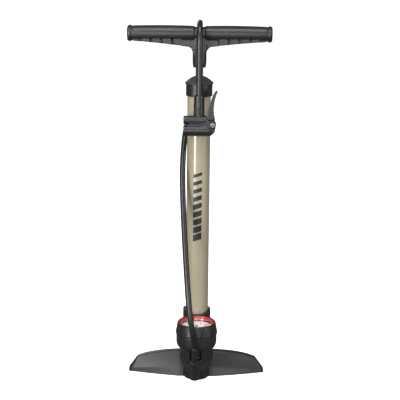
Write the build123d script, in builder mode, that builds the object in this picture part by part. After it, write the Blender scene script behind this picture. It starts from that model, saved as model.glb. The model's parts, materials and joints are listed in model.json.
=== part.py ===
from build123d import *
import math
import os

os.makedirs("parts", exist_ok=True)

# A floor bike pump, millimetres, +Z up, standing on z = 0 with the barrel's axis on Z.
# X runs along the handle and the foot's wings. The gauge and the hose head face -Y.

# ---------------------------------------------------------------- driving dimensions
BARREL_R = 20.0
BARREL_WALL = 1.5
BARREL_BOTTOM = 22.0
BARREL_TOP = 512.0
BARREL_BORE_R = BARREL_R - BARREL_WALL
SOCKET_GAP = 0.1                     # radial gap of a push-on fit between still pieces
RUN_GAP = 0.06                       # radial gap of a shaft that turns or slides in its hole

ROD_R = 6.5
ROD_SPIGOT_R = 4.0
STROKE = 400.0
PISTON_BOTTOM = 62.0
PISTON_TOP = 78.0

WING_HALF_SPAN = 121.5
WING_CREST = 37.8
WING_SKIN = 3.6
WING_END = 106.0                     # where the slanted end of a wing starts
TOWER_R = 24.6
TOWER_TOP = 118.0

GAUGE_Y = -60.0
CUP_R = 35.0
CUP_TOP = 91.6
CUP_FLOOR = 78.0
BEZEL_R = 36.0
BEZEL_TOP_R = 33.2
BEZEL_BOTTOM = 92.0
BEZEL_TOP = 111.6
WINDOW_R = 30.6
LENS_R = 29.9
LENS_BOTTOM = 103.0
LENS_TOP = 105.0
DIAL_Z = 100.0

HOSE_R = 5.0
HOSE_SPLIT_Z = 545.0                 # where the hose is cut into a still and a lifted piece
STRAND_Y = 32.0                      # the two strands hang this far behind and before the axis
HOSE_END_R = 5.7
HOSE_END_LENGTH = 34.0
HOSE_END_BASE = (-2.3, -84.0, 48.0)
HOSE_END_LEAN = 27.0                 # degrees forward from vertical

HANDLE_Z = 600.0
HANDLE_HALF = 122.0
STEM_R = 11.8
STEM_BOTTOM = 543.5
RIB_PITCH = 18.0
RIBS_EACH_SIDE = 5
RIB_THICKNESS = 2.6
POCKET_TOP = 592.8
KEEL_HALF = 9.0

HEAD_Y = -32.0
LOW_PORT_Z = 440.5                   # wide-valve port
HIGH_PORT_Z = 458.0                  # slim-valve port
HEAD_LEFT = -26.0
PIVOT_X = 23.0
PIVOT_Z = 451.0
CAM_R = 5.8
CAM_OFFSET = 1.6                     # the cam's throw, and so the plunger's travel


def write(builder, node):
    """Label a finished piece and write it to its own file."""
    builder.part.label = node
    export_step(builder.part, f"parts/{node}.step")


def upright(x, y):
    """A vertical sketch plane through (x, y): local x is +X, local y is +Z."""
    return Plane((x, y, 0), x_dir=(1, 0, 0), z_dir=(0, -1, 0))


def turn(node, outline, centre=(0, 0)):
    """A turned piece: a closed (radius, height) outline spun about a vertical axis."""
    with BuildPart() as piece:
        with BuildSketch(upright(*centre)):
            with BuildLine():
                Polyline(*outline, close=True)
            make_face()
        revolve(axis=Axis((*centre, 0), (0, 0, 1)))
    write(piece, node)


def washer(inner, outer, low, high):
    """The outline of a plain ring, for turn()."""
    return [(inner, low), (outer, low), (outer, high), (inner, high)]


def turn_along_x(node, outline, height):
    """A turned piece on the X axis of the head: a closed (x, radius) outline."""
    plane = Plane((0, HEAD_Y, height), x_dir=(1, 0, 0), z_dir=(0, -1, 0))
    with BuildPart() as piece:
        with BuildSketch(plane):
            with BuildLine():
                Polyline(*outline, close=True)
            make_face()
        revolve(axis=Axis((0, HEAD_Y, height), (1, 0, 0)))
    write(piece, node)


# ---------------------------------------------------------------- foot
def wing_depth(x):
    """Half the foot's depth at a distance x from the middle."""
    return 40.0 - 0.12 * abs(x) - 0.00075 * x * x


def wing_crest(x):
    """Height of the foot's crest at a distance x from the middle."""
    return WING_CREST * (1.0 - (abs(x) / 125.0) ** 2.5) ** 0.4


def wing_ridge(x):
    """Height of the ridge above the sloping front face, which is also how far back it lies."""
    return 15.0 - 0.08 * abs(x)


def wing_outline(x):
    """Cross-section of the foot at x: a sloping face, a ridge and a crowned top, both ways."""
    depth = wing_depth(x)
    ridge, crest = wing_ridge(x), wing_crest(x)
    if abs(x) > WING_END:
        ridge, crest = 1.8, 2.6
    right = [(depth, 0), (depth, 0.8), (depth - ridge, ridge), (7.0, crest - 0.8), (3.0, crest)]
    left = [(-y, z) for y, z in reversed(right)]
    return right + left


def bay_outline(x):
    """The hollow below the foot's skin at x."""
    depth = wing_depth(x)
    ridge = wing_ridge(x)
    crest = wing_crest(x) - WING_SKIN - 0.9
    side = depth - ridge - 4.0
    return [(depth - 5.0, -1.0), (side, ridge - WING_SKIN), (3.4, crest),
            (-3.4, crest), (-side, ridge - WING_SKIN), (5.0 - depth, -1.0)]


WING_REACHES = (WING_HALF_SPAN, WING_END, 95.0, 82.0, 66.0, 48.0, 30.0)
WING_STATIONS = [-x for x in WING_REACHES] + list(reversed(WING_REACHES))
WING_BAYS = ((39.0, 58.0), (61.0, 80.0), (83.0, 103.0))
WING_CUT = 37.0                      # the foot's moulding is divided here, and behind the cup
TOWER_CUT = -24.8

PEDESTAL_TOP = 61.0
PEDESTAL_STEPS = (0.0, 14.0, 22.0, 29.0, 35.0, 41.0, 48.0, PEDESTAL_TOP)


def pedestal_y(height):
    """The pedestal leans forward, most of all at mid height."""
    share = height / PEDESTAL_TOP
    return -31.0 + (GAUGE_Y + 31.0) * (3.0 * share ** 2 - 2.0 * share ** 3)


def pedestal_radius(height):
    """Straight at the floor, then flaring to a shoulder under the cup."""
    share = min(max((height - 16.0) / 30.0, 0.0), 1.0)
    return 22.0 + 7.2 * (3.0 * share ** 2 - 2.0 * share ** 3) - 1.2 * max(height - 50.0, 0.0) / 11.0


cup_outline = [
    (0, 60.0), (26.5, 60.0), (28.0, 63.0), (32.6, 69.0), (34.6, 73.5), (CUP_R, 77.0),
    (CUP_R, CUP_TOP), (30.1, CUP_TOP), (30.1, LENS_BOTTOM - 0.1), (28.2, LENS_BOTTOM - 0.1),
    (28.2, CUP_FLOOR), (0, CUP_FLOOR),
]

hose_end_plane = Plane(
    HOSE_END_BASE,
    x_dir=(1, 0, 0),
    z_dir=(0, -math.sin(math.radians(HOSE_END_LEAN)), math.cos(math.radians(HOSE_END_LEAN))),
)
HOSE_END_TOP = tuple(hose_end_plane.origin + hose_end_plane.z_dir * HOSE_END_LENGTH)

with BuildPart() as base_body:
    # two wings, as one long crowned shell
    for x in WING_STATIONS:
        with BuildSketch(Plane.YZ.offset(x)):
            with BuildLine():
                Polyline(*wing_outline(x), close=True)
            make_face()
    loft(ruled=True)
    # the pedestal under the gauge: round, leaning forward as it widens
    for low, high in zip(PEDESTAL_STEPS, PEDESTAL_STEPS[1:]):
        for height in (low, high):
            with BuildSketch(Plane.XY.offset(height)):
                with Locations((0, pedestal_y(height))):
                    Circle(pedestal_radius(height))
        loft(ruled=True)
    # the gauge cup and the tower that grips the barrel, bridged below the dial
    with BuildSketch(upright(0, GAUGE_Y)):
        with BuildLine():
            Polyline(*cup_outline, close=True)
        make_face()
    revolve(axis=Axis((0, GAUGE_Y, 0), (0, 0, 1)))
    with BuildSketch():
        Circle(TOWER_R)
    extrude(amount=TOWER_TOP)
    with BuildSketch(Plane.XY.offset(40.0)):
        with Locations((0, -26.0)):
            Rectangle(38.0, 22.0)
    extrude(amount=37.0)
    # a half-round rib down the pedestal, under the hose socket
    rib_path = Plane((HOSE_END_BASE[0], -45.0, -2.0), x_dir=(1, 0, 0), z_dir=(0, -34.5, 50.0))
    with BuildSketch(rib_path):
        Circle(9.0)
    extrude(amount=60.0)
    with BuildSketch(Plane.XY.offset(-20.0)):
        Rectangle(300.0, 300.0)
    extrude(amount=20.0, mode=Mode.SUBTRACT)
    # hose alcove, open to the front, with a relief for the leaning hose end
    with BuildSketch(Plane.XY.offset(HOSE_END_BASE[2])):
        with Locations((-0.9, -86.0)):
            Rectangle(19.2, 24.0)
    extrude(amount=21.0, mode=Mode.SUBTRACT)
    with BuildSketch(hose_end_plane):
        Circle(HOSE_END_R + 0.5)
    extrude(amount=60.0, mode=Mode.SUBTRACT)
    # barrel socket, its scooped rim, and a flat that clears the turning bezel
    with BuildSketch(Plane.XY.offset(BARREL_BOTTOM)):
        Circle(BARREL_R + SOCKET_GAP)
    extrude(amount=TOWER_TOP, mode=Mode.SUBTRACT)
    with BuildSketch(upright(0, 40.0)):
        with Locations((0, TOWER_TOP + 42.0)):
            Circle(49.0)
    extrude(amount=80.0, mode=Mode.SUBTRACT)
    with BuildSketch(Plane.XY.offset(CUP_TOP)):
        with Locations((0, GAUGE_Y)):
            Circle(BEZEL_R + 1.0)
            Circle(30.1, mode=Mode.SUBTRACT)
    extrude(amount=60.0, mode=Mode.SUBTRACT)
    # gauge cavity again, where the tower reached into it
    with BuildSketch(Plane.XY.offset(CUP_FLOOR)):
        with Locations((0, GAUGE_Y)):
            Circle(28.2)
    extrude(amount=60.0, mode=Mode.SUBTRACT)
    # air ways: valve chamber, riser to the gauge, branch to the hose
    with BuildSketch(Plane.XY.offset(9.0)):
        Circle(7.5)
    extrude(amount=20.0, mode=Mode.SUBTRACT)
    with BuildSketch(Plane.XY.offset(10.0)):
        with Locations((0, -40.0)):
            Circle(3.0)
    extrude(amount=72.0, mode=Mode.SUBTRACT)
    with BuildSketch(Plane((0, 0, 16.0), x_dir=(1, 0, 0), z_dir=(0, -1, 0))):
        Circle(2.0)
    extrude(amount=40.0, mode=Mode.SUBTRACT)
    with BuildSketch(Plane((0, -40.0, 36.0), x_dir=(1, 0, 0), z_dir=(-2.3, -38.0, 0))):
        Circle(1.6)
    extrude(amount=38.0, mode=Mode.SUBTRACT)
    with BuildSketch(hose_end_plane):
        Circle(3.1)
    extrude(amount=-15.0, mode=Mode.SUBTRACT)
    # screw holes up into the barrel's end plug
    with BuildSketch():
        with PolarLocations(13.5, 3, start_angle=30):
            Circle(5.0)
    extrude(amount=8.0, mode=Mode.SUBTRACT)
    with BuildSketch():
        with PolarLocations(13.5, 3, start_angle=30):
            Circle(2.2)
    extrude(amount=BARREL_BOTTOM, mode=Mode.SUBTRACT)
    # the wings are hollow from below, with webs between the bays
    for side in (-1, 1):
        for near, far in WING_BAYS:
            for x in (near, far):
                with BuildSketch(Plane.YZ.offset(side * x)):
                    with BuildLine():
                        Polyline(*bay_outline(x), close=True)
                    make_face()
            loft(ruled=True, mode=Mode.SUBTRACT)

# the moulding is divided into four simpler pieces that meet face to face
for node, plane in (("left_wing", Plane.YZ.offset(-WING_CUT)), ("right_wing", Plane.YZ.offset(WING_CUT))):
    with BuildPart() as wing:
        add(base_body.part)
        split(bisect_by=plane, keep=Keep.BOTTOM if node == "left_wing" else Keep.TOP)
    write(wing, node)
for node, keep in (("gauge_pedestal", Keep.TOP), ("barrel_tower", Keep.BOTTOM)):
    with BuildPart() as middle:
        add(base_body.part)
        split(bisect_by=Plane.YZ.offset(-WING_CUT), keep=Keep.TOP)
        split(bisect_by=Plane.YZ.offset(WING_CUT), keep=Keep.BOTTOM)
        split(bisect_by=upright(0, TOWER_CUT), keep=keep)
    write(middle, node)

# ---------------------------------------------------------------- barrel and its two ends
turn("barrel", washer(BARREL_BORE_R, BARREL_R, BARREL_BOTTOM, BARREL_TOP))

with BuildPart() as barrel_plug:
    with BuildSketch(Plane.XY.offset(BARREL_BOTTOM)):
        Circle(BARREL_BORE_R - SOCKET_GAP)
        with PolarLocations(13.5, 3, start_angle=30):
            Circle(2.2, mode=Mode.SUBTRACT)
    extrude(amount=18.0)
    with BuildSketch(Plane.XY.offset(BARREL_BOTTOM)):
        Circle(6.1)
    extrude(amount=12.0, mode=Mode.SUBTRACT)
    with BuildSketch(Plane.XY.offset(BARREL_BOTTOM)):
        Circle(2.0)
    extrude(amount=18.0, mode=Mode.SUBTRACT)
    with BuildSketch(Plane.XY.offset(33.0)):
        Circle(BARREL_R)
        Circle(16.0, mode=Mode.SUBTRACT)
    extrude(amount=3.0, mode=Mode.SUBTRACT)
write(barrel_plug, "barrel_plug")
turn("plug_seal", washer(16.1, 18.45, 33.2, 35.8))

with BuildPart() as barrel_screws:
    with BuildSketch(Plane.XY.offset(4.5)):
        with PolarLocations(13.5, 3, start_angle=30):
            Circle(4.6)
    extrude(amount=3.4)
    with BuildSketch(Plane.XY.offset(7.0)):
        with PolarLocations(13.5, 3, start_angle=30):
            Circle(2.1)
    extrude(amount=30.0)
    with BuildSketch(Plane.XY.offset(4.5)):
        with PolarLocations(13.5, 3, start_angle=30):
            RegularPolygon(2.2, 6)
    extrude(amount=2.2, mode=Mode.SUBTRACT)
write(barrel_screws, "barrel_screws")

# check valve: air leaves the barrel past a sprung disc and can't return
turn("check_valve_seat", [(2.0, 22.4), (3.4, 22.4), (3.4, 24.0), (6.0, 24.0), (6.0, 33.6), (2.0, 33.6)])
turn("check_valve_disc", washer(0, 5.2, 20.0, 22.3))

VALVE_SPRING_LOW = 9.1
VALVE_SPRING_HIGH = 19.9
with BuildPart() as check_valve_spring:
    with BuildLine():
        Helix(pitch=2.2, height=VALVE_SPRING_HIGH - VALVE_SPRING_LOW - 0.9, radius=4.0,
              center=(0, 0, VALVE_SPRING_LOW + 0.45))
    with BuildSketch(Plane((4.0, 0, VALVE_SPRING_LOW + 0.45), x_dir=(1, 0, 0), z_dir=(0, 1, 0))):
        Circle(0.4)
    sweep(is_frenet=True)
write(check_valve_spring, "check_valve_spring")

COLLAR_BOTTOM = 495.5
COLLAR_TOP = 515.5
turn("barrel_collar", [
    (BARREL_R + SOCKET_GAP, COLLAR_BOTTOM), (22.0, COLLAR_BOTTOM), (22.6, COLLAR_BOTTOM + 0.8),
    (22.6, COLLAR_TOP), (BARREL_R + SOCKET_GAP, COLLAR_TOP),
])
GUIDE_BOTTOM = 488.0
turn("rod_guide", [
    (ROD_R + RUN_GAP, GUIDE_BOTTOM), (17.6, GUIDE_BOTTOM), (BARREL_BORE_R - SOCKET_GAP, GUIDE_BOTTOM + 1.0),
    (BARREL_BORE_R - SOCKET_GAP, BARREL_TOP), (BARREL_R, BARREL_TOP), (BARREL_R, COLLAR_TOP),
    (9.0, COLLAR_TOP), (9.0, 505.0), (ROD_R + RUN_GAP, 505.0),
])
turn("rod_wiper", [
    (ROD_R + 0.15, 506.0), (8.9, 506.0), (8.9, COLLAR_TOP), (ROD_R + 1.0, COLLAR_TOP), (ROD_R + 0.15, 510.0),
])

with BuildPart() as cap_dome:
    with BuildSketch(upright(0, 0)):
        with BuildLine():
            Polyline((ROD_R + 0.4, COLLAR_TOP + 0.1), (23.6, COLLAR_TOP + 0.1), (24.2, COLLAR_TOP + 0.7),
                     (24.2, COLLAR_TOP + 2.6), (23.6, COLLAR_TOP + 3.4))
            Spline((23.6, COLLAR_TOP + 3.4), (19.4, COLLAR_TOP + 6.9), (14.4, COLLAR_TOP + 10.6),
                   (8.6, COLLAR_TOP + 13.2))
            Polyline((8.6, COLLAR_TOP + 13.2), (ROD_R + 0.4, COLLAR_TOP + 12.6), (ROD_R + 0.4, COLLAR_TOP + 0.1))
        make_face()
    revolve(axis=Axis.Z)
write(cap_dome, "cap_dome")

# ---------------------------------------------------------------- rod, piston and handle
ROD_TOP = 590.0
NUT_LOW = 55.0
turn("piston_rod", [
    (0, 53.0), (ROD_SPIGOT_R, 53.0), (ROD_SPIGOT_R, PISTON_TOP + 0.2), (ROD_R, PISTON_TOP + 0.2),
    (ROD_R, ROD_TOP), (3.1, ROD_TOP), (3.1, ROD_TOP - 24.0), (0, ROD_TOP - 24.0),
])
turn("piston_head", [
    (ROD_SPIGOT_R + RUN_GAP, PISTON_BOTTOM), (17.6, PISTON_BOTTOM), (18.1, PISTON_BOTTOM + 1.0),
    (18.1, 66.0), (14.5, 66.0), (14.5, 72.0), (18.1, 72.0), (18.1, PISTON_TOP - 1.0), (17.6, PISTON_TOP),
    (ROD_SPIGOT_R + RUN_GAP, PISTON_TOP),
])
turn("piston_seal", [(14.7, 66.2), (18.0, 66.2), (18.44, 67.4), (18.44, 70.6), (18.0, 71.8), (14.7, 71.8)])
turn("piston_bumper", washer(ROD_R + 0.3, 12.5, PISTON_TOP + 0.3, PISTON_TOP + 8.0))

with BuildPart() as piston_nut:
    with BuildSketch(Plane.XY.offset(NUT_LOW)):
        RegularPolygon(7.4, 6)
        Circle(ROD_SPIGOT_R, mode=Mode.SUBTRACT)
    extrude(amount=PISTON_BOTTOM - NUT_LOW - 0.2)
write(piston_nut, "piston_nut")

rib_places = [side * (30.0 + RIB_PITCH * i) for side in (-1, 1) for i in range(RIBS_EACH_SIDE)]
pocket_places = [side * (39.0 + RIB_PITCH * i) for side in (-1, 1) for i in range(RIBS_EACH_SIDE - 1)]

with BuildPart() as handle_grip:
    # the grip swells a little at mid hand and ends in a bead
    with BuildSketch(Plane((0, 0, HANDLE_Z), x_dir=(1, 0, 0), z_dir=(0, -1, 0))):
        with BuildLine():
            for side in (-1, 1):
                ThreePointArc((side * 9.8, 13.0), (side * 62.0, 13.7), (side * 112.6, 12.7))
                Polyline((side * 112.6, 12.7), (side * 113.2, 12.0), (side * 114.6, 12.0), (side * 115.2, 13.2))
                ThreePointArc((side * 115.2, 13.2), (side * 118.4, 13.7), (side * 121.4, 12.4))
                Line((side * 121.4, 12.4), (side * HANDLE_HALF, 11.4))
                Line((side * HANDLE_HALF, 11.4), (side * HANDLE_HALF, 0))
            Polyline((-9.8, 13.0), (-9.6, 11.6), (9.6, 11.6), (9.8, 13.0))
            Line((-HANDLE_HALF, 0), (HANDLE_HALF, 0))
        make_face()
    revolve(axis=Axis((0, 0, HANDLE_Z), (1, 0, 0)))
    # palm keel under the grip, deepest at the stem, then flaring into it
    with BuildSketch(upright(0, KEEL_HALF)) as keel:
        with BuildLine():
            Polyline((-112.0, 587.4), (-66.0, 583.4), (-17.4, 578.2), (-STEM_R, 570.6), (-STEM_R, 560.0),
                     (STEM_R, 560.0), (STEM_R, 570.6), (17.4, 578.2), (66.0, 583.4), (112.0, 587.4),
                     (112.0, 600.0), (-112.0, 600.0), close=True)
        make_face()
        fillet([v for v in keel.vertices() if abs(v.X) == STEM_R and v.Z > 565.0], 9.0)
    extrude(amount=2.0 * KEEL_HALF)
    # round stem
    with BuildSketch(upright(0, 0)):
        with BuildLine():
            Polyline((0, STEM_BOTTOM), (10.2, STEM_BOTTOM), (10.7, STEM_BOTTOM + 0.6), (STEM_R, 552.0),
                     (STEM_R, 592.0), (0, 592.0), close=True)
        make_face()
    revolve(axis=Axis.Z)
    # finger ribs with open pockets between them
    with BuildSketch(Plane.XY.offset(575.0)):
        for x in pocket_places:
            for side in (-1, 1):
                with Locations((x, side * 9.1)):
                    Rectangle(RIB_PITCH - RIB_THICKNESS, 13.4)
    extrude(amount=POCKET_TOP - 575.0, mode=Mode.SUBTRACT)
    # bore for the rod, and a well for the screw that holds it
    with BuildSketch(Plane.XY.offset(STEM_BOTTOM)):
        Circle(ROD_R + 0.04)
    extrude(amount=ROD_TOP - STEM_BOTTOM + 0.1, mode=Mode.SUBTRACT)
    with BuildSketch(Plane.XY.offset(580.0)):
        Circle(3.2)
    extrude(amount=40.0, mode=Mode.SUBTRACT)
    with BuildSketch(Plane.XY.offset(604.0)):
        Circle(5.6)
    extrude(amount=20.0, mode=Mode.SUBTRACT)
write(handle_grip, "handle_grip")

with BuildPart() as handle_screw:
    with BuildSketch(Plane.XY.offset(570.0)):
        Circle(3.0)
    extrude(amount=34.1)
    with BuildSketch(Plane.XY.offset(604.1)):
        Circle(5.2)
        RegularPolygon(2.6, 6, mode=Mode.SUBTRACT)
    extrude(amount=3.8)
write(handle_screw, "handle_screw")

# ---------------------------------------------------------------- pressure gauge
MARK_LOW = 105.6
MARK_HIGH = 110.2
with BuildPart() as gauge_bezel:
    with BuildSketch(upright(0, GAUGE_Y)):
        with BuildLine():
            Polyline((WINDOW_R, BEZEL_BOTTOM), (BEZEL_R, BEZEL_BOTTOM), (BEZEL_R, BEZEL_BOTTOM + 2.5),
                     (BEZEL_TOP_R, BEZEL_TOP - 1.6), (BEZEL_TOP_R - 1.2, BEZEL_TOP), (WINDOW_R - 0.4, BEZEL_TOP),
                     (WINDOW_R - 0.4, MARK_HIGH + 0.1), (WINDOW_R + 0.7, MARK_HIGH + 0.1),
                     (WINDOW_R + 0.7, MARK_LOW), (WINDOW_R, MARK_LOW), close=True)
        make_face()
    revolve(axis=Axis((0, GAUGE_Y, 0), (0, 0, 1)))
    # finger grooves round the bezel
    with BuildSketch(Plane.XY.offset(BEZEL_BOTTOM + 3.0)):
        with Locations((0, GAUGE_Y)):
            with PolarLocations(BEZEL_R + 0.9, 24):
                Circle(2.0)
    extrude(amount=30.0, mode=Mode.SUBTRACT)
write(gauge_bezel, "gauge_bezel")

with BuildPart() as target_ring:
    with BuildSketch(Plane.XY.offset(MARK_LOW + 0.1)):
        with Locations((0, GAUGE_Y)):
            Circle(WINDOW_R + 0.6)
            Circle(WINDOW_R - 0.8, mode=Mode.SUBTRACT)
    extrude(amount=MARK_HIGH - MARK_LOW - 0.1)
    with BuildSketch(Plane.XY.offset(MARK_LOW + 0.1)):
        with BuildLine():
            Polyline((-30.2, GAUGE_Y + 3.4), (-24.6, GAUGE_Y), (-30.2, GAUGE_Y - 3.4), close=True)
        make_face()
    extrude(amount=1.4)
write(target_ring, "target_ring")

gauge_centre = (0, GAUGE_Y)
turn("gauge_lens", washer(0, LENS_R, LENS_BOTTOM, LENS_TOP), gauge_centre)
turn("gauge_dial", washer(1.6, 28.0, DIAL_Z, DIAL_Z + 0.8), gauge_centre)

with BuildPart() as gauge_needle:
    with BuildSketch(Plane.XY.offset(DIAL_Z + 1.3)):
        with Locations((0, GAUGE_Y)):
            Circle(2.6)
        with BuildLine():
            Polyline((-1.6, GAUGE_Y + 6.0), (1.6, GAUGE_Y + 6.0), (0.9, GAUGE_Y - 10.0),
                     (0.3, GAUGE_Y - 23.0), (-0.3, GAUGE_Y - 23.0), (-0.9, GAUGE_Y - 10.0), close=True)
        make_face()
        with Locations((0, GAUGE_Y)):
            Circle(0.75, mode=Mode.SUBTRACT)
    extrude(amount=0.7)
write(gauge_needle, "gauge_needle")

# geared movement: a ten-tooth pinion on the needle's arbor, in mesh with a sector
MODULE = 0.4
PINION_TEETH = 10
WHEEL_TEETH = 60
PINION_R = MODULE * PINION_TEETH / 2
WHEEL_R = MODULE * WHEEL_TEETH / 2
SECTOR_PIVOT = (PINION_R + WHEEL_R, GAUGE_Y)
GEAR_Z = 86.0
GEAR_THICK = 1.2
PLATE_LOW = 83.0
PLATE_HIGH = 92.0
PLATE_THICK = 1.0


def tooth(radius):
    """A thin pointed tooth on +X, with plenty of backlash for a light movement."""
    inner = radius - 0.62
    return [(inner, -0.26), (radius, -0.2), (radius + 0.26, -0.09),
            (radius + 0.26, 0.09), (radius, 0.2), (inner, 0.26)]


with BuildPart() as needle_pinion:
    with BuildSketch(Plane.XY.offset(PLATE_LOW - 1.6)):
        with Locations((0, GAUGE_Y)):
            Circle(0.7)
    extrude(amount=DIAL_Z + 1.9 - PLATE_LOW + 1.6)
    with BuildSketch(Plane.XY.offset(GEAR_Z)):
        with Locations((0, GAUGE_Y)):
            Circle(PINION_R - 0.5)
        for i in range(PINION_TEETH):
            with Locations(Location((0, GAUGE_Y, 0), (0, 0, 360.0 * i / PINION_TEETH))):
                Polygon(*tooth(PINION_R), align=None)
    extrude(amount=GEAR_THICK)
write(needle_pinion, "needle_pinion")

with BuildPart() as sector_gear:
    # its teeth face the pinion; a gap of the sector meets a tooth of the pinion at rest
    with BuildSketch(Plane.XY.offset(GEAR_Z)):
        with Locations(SECTOR_PIVOT):
            Circle(2.4)
        with BuildLine():
            Polyline(SECTOR_PIVOT, (SECTOR_PIVOT[0] - 11.2, GAUGE_Y - 4.2), (SECTOR_PIVOT[0] - 6.4, GAUGE_Y - 10.0),
                     close=True)
        make_face()
        with BuildLine():
            blank = [
                (SECTOR_PIVOT[0] - (WHEEL_R - 0.5) * math.cos(math.radians(a)),
                 GAUGE_Y + (WHEEL_R - 0.5) * math.sin(math.radians(a)))
                for a in (-10, 21, 52)
            ]
            ThreePointArc(*blank)
            Polyline(blank[2], SECTOR_PIVOT, blank[0])
        make_face()
        for i in range(-2, 9):
            angle = 180.0 - (i + 0.5) * 360.0 / WHEEL_TEETH
            with Locations(Location((*SECTOR_PIVOT, 0), (0, 0, angle))):
                Polygon(*tooth(WHEEL_R), align=None)
    extrude(amount=GEAR_THICK)
    with BuildSketch(Plane.XY.offset(PLATE_LOW - 1.6)):
        with Locations(SECTOR_PIVOT):
            Circle(0.8)
    extrude(amount=PLATE_HIGH - PLATE_LOW + 3.6)
write(sector_gear, "sector_gear")

# two bridge plates on three pillars carry the arbor and the sector's pivot
PILLARS = ((-5.0, GAUGE_Y + 7.0), (-5.0, GAUGE_Y - 7.0), (19.5, GAUGE_Y + 4.0))
with BuildPart() as movement_plates:
    for height in (PLATE_LOW, PLATE_HIGH):
        with BuildSketch(Plane.XY.offset(height)):
            with Locations((7.0, GAUGE_Y)):
                RectangleRounded(30.0, 18.0, 3.0)
            with Locations((0, GAUGE_Y)):
                Circle(0.76, mode=Mode.SUBTRACT)
            with Locations(SECTOR_PIVOT):
                Circle(0.86, mode=Mode.SUBTRACT)
        extrude(amount=PLATE_THICK)
    with BuildSketch(Plane.XY.offset(CUP_FLOOR + 0.1)):
        with Locations(*PILLARS):
            Circle(1.6)
    extrude(amount=PLATE_HIGH - CUP_FLOOR)
write(movement_plates, "movement_plates")

with BuildPart() as bourdon_tube:
    # flattened tube, bent round the movement; pressure uncurls it
    with BuildSketch(upright(0, GAUGE_Y)):
        with Locations((24.5, 89.0)):
            Ellipse(1.2, 3.2)
    revolve(axis=Axis((0, GAUGE_Y, 0), (0, 0, 1)), revolution_arc=250.0)
bourdon_tube.part = bourdon_tube.part.rotate(Axis((0, GAUGE_Y, 0), (0, 0, 1)), 90.0)
write(bourdon_tube, "bourdon_tube")

with BuildPart() as gauge_socket:
    with BuildSketch(Plane.XY.offset(60.0)):
        with Locations((0, -40.0)):
            Circle(2.9)
    extrude(amount=18.1)
    with BuildSketch(Plane.XY.offset(CUP_FLOOR + 0.1)):
        with Locations((0, -38.6)):
            RectangleRounded(9.0, 9.0, 1.5)
    extrude(amount=7.4)
    with BuildSketch(Plane.XY.offset(60.0)):
        with Locations((0, -40.0)):
            Circle(1.2)
    extrude(amount=24.0, mode=Mode.SUBTRACT)
    with BuildSketch(Plane.XY.offset(66.0)):
        with Locations((0, -40.0)):
            Circle(2.9)
            Circle(2.0, mode=Mode.SUBTRACT)
    extrude(amount=2.0, mode=Mode.SUBTRACT)
write(gauge_socket, "gauge_socket")
turn("gauge_seal", washer(2.02, 2.96, 66.1, 67.9), (0, -40.0))

# ---------------------------------------------------------------- hose head
HEAD_BACK = HEAD_Y + 10.5
SLOT_HALF = 4.2
FORK_END_R = 6.0
CLIP_R = 22.6
CLIP_BOTTOM = 443.0
CLIP_HEIGHT = 12.0
side_plane = Plane((0, HEAD_BACK, 0), x_dir=(1, 0, 0), z_dir=(0, -1, 0))

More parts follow.
